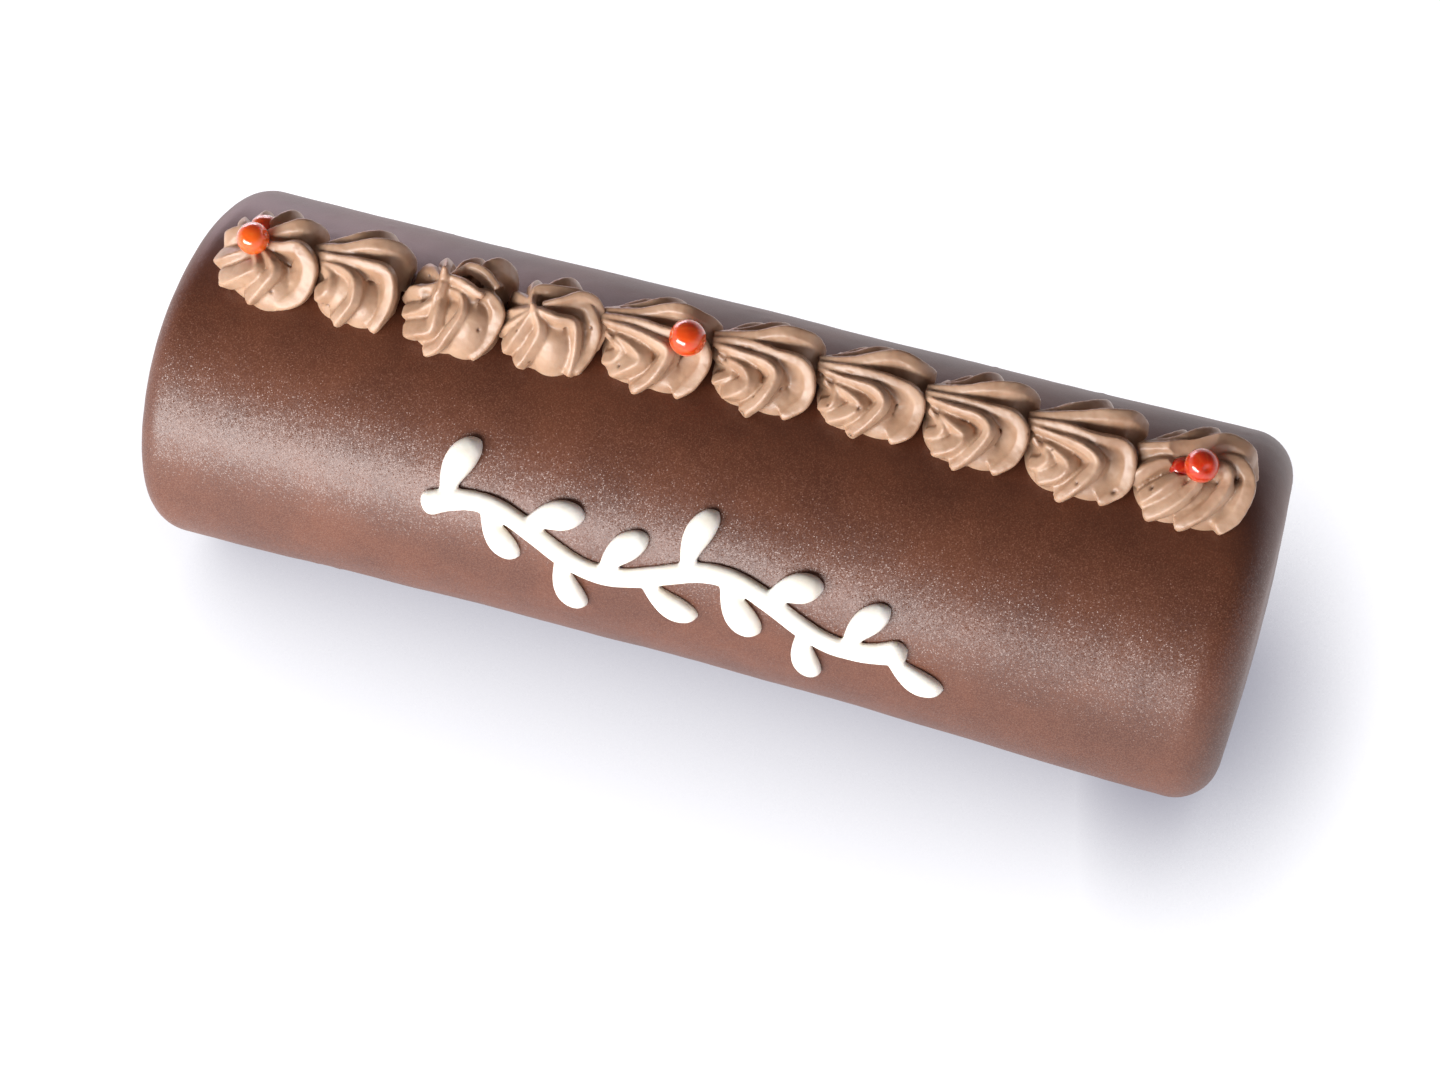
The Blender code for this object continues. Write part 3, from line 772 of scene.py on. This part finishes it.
            (2.8, (-3, -6.0, 14.1), (-4.6, -8.2, 9.6), (-7, -9.6, 6), (-9.6, -10.2, 2)),
            (2.2, (-3.3, -5.6, 14.3), (-7.0, -6.2, 9.5), (-10.6, -6.0, 5.5), (-12.0, -5.6, 2)),
            (2.0, (-3.5, -5, 14.3), (-8, -4, 10.5), (-11.6, -3.5, 6), (-13, -3, 1.5)),
            (1.9, (-3.6, -4, 14.8), (-5.2, -0.8, 14.6), (-3, 2, 14.8), (3, 3.8, 14.6), (7.3, 4.0, 13.2),
             (10, 5.6, 7.6), (9, 9.8, 1.2)),
            (2.1, (-4, -1, 13.2), (-2, 5.5, 12.3), (1.5, 9.8, 10), (2.5, 13.8, 1.2)),
            (2.1, (-5, -1, 13), (-7, 4.5, 11), (-7.5, 9.5, 7), (-8.5, 12.3, 1.2)),
            (2.0, (-5, -2, 13), (-9.8, 1.5, 9), (-12.8, 4, 2)),
            (1.3, (-1, -3.6, 15.6), (2.8, -1.6, 16.0), (8, 2.4, 16.0), (12.2, 2.6, 12.6), (13.8, -0.6, 8),
             (13.2, -4.4, 4)),
        ),
        "peak": (4.4, (-2.3, -4.4, 8), (-2.5, -5.2, 13.6), (-2.7, -6.4, 18.6)),
        "hearts": ((-0.4, -0.2, 0, 11.4, 11.8, 11.0), (-2, -4, 5, 5, 5, 8), (2.5, -4.5, 1, 7.5, 8.4, 10.5)),
    },
}


def smoothLine(points, share):  # a place on the smooth line through the points
    spot = share * (len(points) - 1)
    number = min(int(spot), len(points) - 2)
    part = spot - number
    a, b, c, d = (points[clamp(number + step, 0, len(points) - 1)] for step in (-1, 0, 1, 2))
    bend = (2 * a - 5 * b + 4 * c - d) * part**2 + (3 * b - 3 * c + d - a) * part**3
    return 0.5 * (2 * b + (c - a) * part + bend)


def roundTip(distance, radius):  # share of its radius that a stroke has this far from its round tip
    return math.sqrt(max(0.02, 1 - max(0, 1 - distance / (0.9 * radius)) ** 2))


def sharpTip(distance, radius):  # and this far from a pointed one
    return clamp(distance / (3 * radius), 0.08, 1) ** 0.7


# the point that closes a stroke at its first or last ring, a little way past the middle of its end
def endPoint(middle, ahead, radius, ring):
    return middle + ahead * radius * (-0.3 if ring == 0 else 0.3)


def pipeRidge(radius, points, blunt, s):  # a ridge of cream whose flanks reach into the heart of the shell
    steps = s["ridgeSteps"]
    middles = [smoothLine(points, step / steps) for step in range(steps + 1)]
    length = sum((end - start).length for start, end in zip(middles, middles[1:]))

    def place(column, ring):
        step = clamp(ring - 1, 0, steps)
        share = step / steps
        middle = middles[step]
        ahead = (middles[min(steps, step + 1)] - middles[max(0, step - 1)]).normalized()
        left = (1 - share) * length
        tip = mix(sharpTip(left, radius), roundTip(left, radius), blunt)
        out = radius * mix(s["ridgeRoot"], 1, smoothStep(share, 0, s["ridgeFull"])) * tip
        wide = out / math.sqrt(tip)
        if ring in (0, steps + 2):
            return endPoint(middle, ahead, out, ring)
        heart = Vector(s["heartPlace"]) * middle
        heart.x = clamp(heart.x, *s["heartSpan"])
        outward = middle - heart
        outward = (outward - ahead * outward.dot(ahead)).normalized()
        turn = math.tau * column / s["ridgeSides"]
        rise, aside = math.cos(turn), math.sin(turn)
        if rise < 0:  # the flanks run down as a skirt, with only the lowest point under the crest
            flare = 1 + mix(*s["ridgeFlare"], smoothStep(share, *s["flareSpan"])) * rise**2
            aside = math.copysign(flare, aside) if abs(aside) > 0.1 else 0
            rise *= s["ridgeDepth"]
        else:
            aside *= 1 - s["ridgeEdge"] * rise
        return middle + outward * rise * out + ahead.cross(outward) * aside * wide

    return shapeSphere(s["ridgeSides"], steps + 2, place)


def drawPeak(radius, points, s):  # a cone with hollow flanks, as cream is left where the nozzle lifts away
    steps = s["ridgeSteps"]
    ahead = (points[-1] - points[0]).normalized()
    side = ahead.orthogonal().normalized()

    def place(column, ring):
        share = clamp(ring - 1, 0, steps) / steps
        middle = smoothLine(points, share)
        if ring in (0, steps + 2):
            return middle
        turn = math.tau * column / s["ridgeSides"]
        out = radius * (1 - share) ** s["peakHollow"] + s["peakTip"]
        return middle + out * (side * math.cos(turn) + ahead.cross(side) * math.sin(turn))

    return shapeSphere(s["ridgeSides"], steps + 2, place)


def swellHeart(heart, stretch, s):
    bm = bmesh.new()
    bmesh.ops.create_uvsphere(bm, u_segments=s["heartSides"], v_segments=s["heartRings"], radius=1)
    bmesh.ops.scale(bm, vec=Vector(heart[3:]) * stretch * mm, verts=bm.verts)
    bmesh.ops.translate(bm, vec=Vector(heart[:3]) * stretch * mm, verts=bm.verts)
    return bm


def joinShapes(shapes):  # one bmesh of them all
    whole = bmesh.new()
    for shape in shapes:
        mesh = bpy.data.meshes.new("shape")
        shape.to_mesh(mesh)
        shape.free()
        whole.from_mesh(mesh)
        bpy.data.meshes.remove(mesh)
    return whole


def fuseShapes(shapes, voxel, softenings):  # melts the shapes into one skin and keeps only its outside
    whole = joinShapes(shapes)
    mesh = bpy.data.meshes.new("fusing")
    whole.to_mesh(mesh)
    piece = bpy.data.objects.new("fusing", mesh)
    bpy.context.scene.collection.objects.link(piece)
    fuse = piece.modifiers.new("fuse", "REMESH")
    fuse.mode = "VOXEL"
    fuse.voxel_size = voxel
    soften = piece.modifiers.new("soften", "SMOOTH")
    soften.factor = 0.5
    soften.iterations = softenings
    fused = bpy.data.meshes.new_from_object(piece.evaluated_get(bpy.context.evaluated_depsgraph_get()))
    whole.clear()
    whole.from_mesh(fused)
    bpy.data.objects.remove(piece)
    bpy.data.meshes.remove(mesh)
    bpy.data.meshes.remove(fused)
    keepLargest(whole)
    return whole


def keepLargest(bm):  # deletes all but the island with the most points
    left = set(bm.verts)
    largest = set()
    while left:
        island = {left.pop()}
        edge = list(island)
        while edge:
            vert = edge.pop()
            for link in vert.link_edges:
                other = link.other_vert(vert)
                if other in left:
                    left.remove(other)
                    island.add(other)
                    edge.append(other)
        largest = max(largest, island, key=len)
    bmesh.ops.delete(bm, geom=[vert for vert in bm.verts if vert not in largest], context="VERTS")


def cutFoot(bm, sunk):  # a flat foot just under the glaze
    everything = bm.verts[:] + bm.edges[:] + bm.faces[:]
    cut = bmesh.ops.bisect_plane(bm, geom=everything, plane_co=(0, 0, -sunk), plane_no=(0, 0, 1),
                                 clear_inner=True)
    edges = [edge for edge in cut["geom_cut"] if isinstance(edge, bmesh.types.BMEdge)]
    foot = bmesh.ops.holes_fill(bm, edges=edges, sides=0)
    bmesh.ops.triangulate(bm, faces=foot["faces"])
    bm.normal_update()


def pipeShapes(shape, stretch, blunt, draw, s):  # the hearts, ridges and peak of one shell
    shapes = [swellHeart(heart, stretch, s) for heart in shape["hearts"]]
    for number, (radius, *ridge) in enumerate(shape["ridges"]):
        points = [Vector(point) * stretch * mm for point in ridge]
        for point in points[1:]:
            astray = Vector([draw.gauss(0, s["wander"]) for _ in range(3)])
            point += astray * min(1, point.z / s["wanderFrom"])
        size = radius * mm * (1 + draw.uniform(-1, 1) * s["uneven"])
        tipBlunt = s["tipBlunts"][min(number, 2)] or blunt
        shapes.append(pipeRidge(size, points, tipBlunt * draw.uniform(*s["bluntUneven"]), s))
    if "peak" in shape:
        radius, *points = shape["peak"]
        shapes.append(drawPeak(radius * mm, [Vector(point) * mm for point in points], s))
    return shapes


def choosePits(bm, shape, stretch, blunt, draw, s):  # each pit's place and reach
    low, high = s["pitHeights"]
    places = [vert.co.copy() for vert in bm.verts if low < vert.co.z < high]
    pits = [(Vector(hole[:3]) * stretch * mm, hole[3] * mm) for hole in shape.get("holes", ())]
    pits += [(draw.choice(places), draw.uniform(*s["pitReach"])) for _ in range(s["pits"])]
    if blunt > s["curlFrom"] and "curl" in shape:
        pits.append((Vector(shape["curl"]) * stretch * mm, s["curlReach"]))
    return pits


def roughenShell(bm, pits, seed, s):  # presses the pits in and makes the cream uneven
    tree = kdtree.KDTree(len(pits))
    for number, (spot, _) in enumerate(pits):
        tree.insert(spot, number)
    tree.balance()
    # how deep a point lies in a pit, for the painted shade there
    dark = bm.verts.layers.float.new("paintedShadePit")
    for vert in bm.verts:
        local, outward = vert.co.copy(), vert.normal.copy()
        above = smoothStep(local.z, 0, 1 * mm)  # the foot stays as it is cut
        out = s["waveHeight"] * noise.noise(local / s["waveSize"] + seed)
        out += s["lumpHeight"] * noise.noise(local / s["lumpSize"] + seed)
        _, number, distance = tree.find(local)
        reach = pits[number][1]
        if distance < 2 * reach:
            dip = math.exp(-((distance / reach) ** 2))
            out -= s["pitDepth"] * reach * dip
            vert[dark] = dip * above
        vert.co = local + outward * out * above


def seatShell(bm, middleX, middleY, s):  # bends it onto the log and hollows it round the lowest berry
    for vert in bm.verts:
        x, y = middleX + vert.co.x, middleY + vert.co.y
        away = math.hypot(x - s["nestPlace"][0], y - s["nestPlace"][1])
        rim = s["nestFloor"] + s["nestSlope"] * max(0, away - s["nestReach"])
        height = min(vert.co.z, mix(rim, vert.co.z, s["nestGive"]))
        vert.co = (x, y, logTop(x, y) + height)


def buildShell(index, s):
    kind, length, width, offset, blunt = s["shells"][index]
    shape = creamShapes[kind]
    plainLength, plainWidth = shape.get("size", (length, width))
    stretch = Vector((length / plainLength, width / plainWidth, 1))
    draw = random.Random(index + s["seed"])

    bm = fuseShapes(pipeShapes(shape, stretch, blunt, draw, s), s["voxel"], s["softenings"])
    cutFoot(bm, s["sunk"])
    seed = Vector([draw.uniform(0, 50) for _ in range(3)])
    roughenShell(bm, choosePits(bm, shape, stretch, blunt, draw, s), seed, s)
    left = s["start"] + sum(row[1] * mm - s["overlap"] for row in s["shells"][:index])
    seatShell(bm, left + length / 2 * mm, offset * mm, s)
    return addPiece(f"creamShell{index + 1:02d}", bm, cream)


for index in range(len(shellRow["shells"])):
    dressNode(buildShell(index, shellRow), "cream", f"shell_{index + 1:02d}")
print("shells are piped")


currantRow = {
    # each one's x, y, height of its middle over the log and radius in mm, turn and tilt of its veins in
    # degrees, and redness
    "currant_left": (-126.6, -4.2, 14.2, 4.3, 20, 60, 0.0),
    "currant_left_behind": (-127.4, 3.5, 9.5, 4.0, 100, 35, 0.2),
    "currant_middle": (-6.3, -3.2, 15.7, 4.8, 200, 70, 0.45),
    "currant_right": (126.7, -2.4, 15.2, 4.3, 300, 50, 0.8),
    "currant_right_beside": (122.2, -0.3, 9.2, 3.2, 40, 70, 1.0),
}
currantShape = {
    "columns": 96,
    "rings": 56,
    "veins": 9,
    "veinTone": 0.22,
    "veinSharpness": 14,
    "dimple": 0.14,  # at its blossom end, as a share of the radius
    "dimpleSpread": 0.28,
    "stemDimple": 0.4,  # the one at its stem end, as a share of the other
    "stemSpread": 0.2,
}


def buildCurrant(node, row, s):
    x, y, height, radius = (value * mm for value in row[:4])
    turn, tilt = math.radians(row[4]), math.radians(row[5])
    middle = Vector((x, y, logTop(x, y) + height))
    poleWay = Vector((math.sin(tilt) * math.cos(turn), math.sin(tilt) * math.sin(turn), math.cos(tilt)))
    spin = poleWay.to_track_quat("Z", "Y")

    def place(column, ring):
        down = math.pi * ring / s["rings"]
        around = math.tau * column / s["columns"]
        blossom = math.exp(-((down / s["dimpleSpread"]) ** 2))
        stem = s["stemDimple"] * math.exp(-(((math.pi - down) / s["stemSpread"]) ** 2))
        out = radius * (1 - s["dimple"] * (blossom + stem))
        flat = math.sin(down)
        way = Vector((flat * math.cos(around), flat * math.sin(around), math.cos(down)))
        return middle + spin @ way * out

    bm = shapeSphere(s["columns"], s["rings"], place)
    ripe = bm.verts.layers.float.new("ripe")
    vein = bm.verts.layers.float.new("vein")
    back = spin.inverted()
    for vert in bm.verts:
        way = back @ (vert.co - middle)
        around = math.atan2(way.y, way.x)
        vert[ripe] = row[6]
        line = abs(math.cos(s["veins"] / 2 * around)) ** s["veinSharpness"]
        vert[vein] = s["veinTone"] * line * way.xy.length / radius
    name = "redcurrant" + node[len("currant"):].title().replace("_", "")
    return addPiece(name, bm, currantSkin)


for node, row in currantRow.items():
    dressNode(buildCurrant(node, row, currantShape), "currant", node)
print("redcurrants are set")


vine = {
    "start": -66 * mm,
    "end": 67 * mm,
    "angle": 66,  # degrees down from the top of the log
    "slope": 7,
    "wave": 5 * mm,
    "waves": 2,
    "stemRadius": 2.8 * mm,
    "stemUneven": 0.06,
    "stemLumps": 22,
    "blob": 0.35,  # how much thicker both ends of the stem are
    "blobReach": 5.8 * mm,
    "leaves": 6,  # on each side
    # by side, 1 being up the log: where in its stretch of stem a leaf starts
    "leafStarts": {1: 0.30, -1: 0.78},
    "leafLength": 17 * mm,
    "leafRadius": 3.9 * mm,
    "leafNeck": 0.45,
    "leafSwell": 1.6,
    "leafTip": 0.6,
    "leafOpening": math.radians(74),  # between the stem and the leaf where it starts
    "leafClosing": math.radians(24),  # and at its tip
    "leafUneven": 0.09,
    "leafWander": math.radians(6),
    "lift": 0.35,
    "flatness": 0.75,
    "sides": 20,
    "stemSteps": 180,
    "leafSteps": 30,
    "seed": 6,
    "voxel": 0.45 * mm,
    "softenings": 6,
}


# a place on the log's front and the way out of it; aside is up the log from the vine's line
def vinePlace(along, aside, lift):
    share = (along - vine["start"]) / (vine["end"] - vine["start"])
    angle = aside / logShape["halfHeight"] - math.radians(vine["angle"] + vine["slope"] * (share - 0.5))
    outward = Vector((0, math.sin(angle) / logShape["halfWidth"], math.cos(angle) / logShape["halfHeight"]))
    outward.normalize()
    return Vector((along, *logSection(along, angle))) + outward * lift, outward


def stemLine(share):
    along = mix(vine["start"], vine["end"], share)
    return along, vine["wave"] * math.sin(math.tau * vine["waves"] * share)


def pipeStroke(line, radii):  # a flattened tube along a line on the log, with round tips
    places = [vinePlace(along, aside, radius * vine["lift"]) for (along, aside), radius in zip(line, radii)]
    last = len(places) - 1

    def place(column, ring):
        step = clamp(ring - 1, 0, last)
        middle, outward = places[step]
        ahead = (places[min(last, step + 1)][0] - places[max(0, step - 1)][0]).normalized()
        if ring in (0, last + 2):
            return endPoint(middle, ahead, radii[step], ring)
        turn = math.tau * column / vine["sides"]
        across = ahead.cross(outward).normalized() * math.cos(turn)
        return middle + radii[step] * (across + outward * math.sin(turn) * vine["flatness"])

    return shapeSphere(vine["sides"], last + 2, place)


def pipeStem():
    line, radii = [], []
    length = vine["end"] - vine["start"]
    for step in range(vine["stemSteps"] + 1):
        share = step / vine["stemSteps"]
        line.append(stemLine(share))
        tip = min(share, 1 - share) * length
        blob = vine["blob"] * math.exp(-((tip / vine["blobReach"]) ** 2))
        uneven = 1 + vine["stemUneven"] * noise.noise(Vector((share * vine["stemLumps"], 4, 1)))
        radius = vine["stemRadius"] * (1 + blob) * uneven
        radii.append(radius * roundTip(tip, radius))
    return pipeStroke(line, radii)


def stemSlope(share):  # angle of the stem's line against the line of the vine
    rise = vine["wave"] * math.tau * vine["waves"] * math.cos(math.tau * vine["waves"] * share)
    return math.atan2(rise, vine["end"] - vine["start"])


def pipeLeaf(share, side, draw):
    along, aside = stemLine(share)
    length = vine["leafLength"] * (1 + vine["leafUneven"] * draw.uniform(-1, 1))
    radius = vine["leafRadius"] * (1 + vine["leafUneven"] * draw.uniform(-1, 1))
    lean = stemSlope(share) + vine["leafWander"] * draw.uniform(-1, 1)
    line, radii = [], []
    for step in range(vine["leafSteps"] + 1):
        part = step / vine["leafSteps"]
        turn = lean + side * mix(vine["leafOpening"], vine["leafClosing"], part / 2)
        line.append((along + length * part * math.cos(turn), aside + length * part * math.sin(turn)))
        swell = math.sin(math.pi * part ** vine["leafSwell"])
        tip = roundTip((1 - part) * length, radius * vine["leafTip"])
        radii.append(radius * mix(vine["leafNeck"], 1, swell) * tip)
    return pipeStroke(line, radii)


def buildVine():
    strokes = [pipeStem()]
    draw = random.Random(vine["seed"])
    for number in range(vine["leaves"]):
        for side, start in vine["leafStarts"].items():
            strokes.append(pipeLeaf((number + start) / vine["leaves"], side, draw))
    return addPiece("pipedIcing", fuseShapes(strokes, vine["voxel"], vine["softenings"]), icing)


dressNode(buildVine(), "icing", "piped_vine")
print("vine is piped")
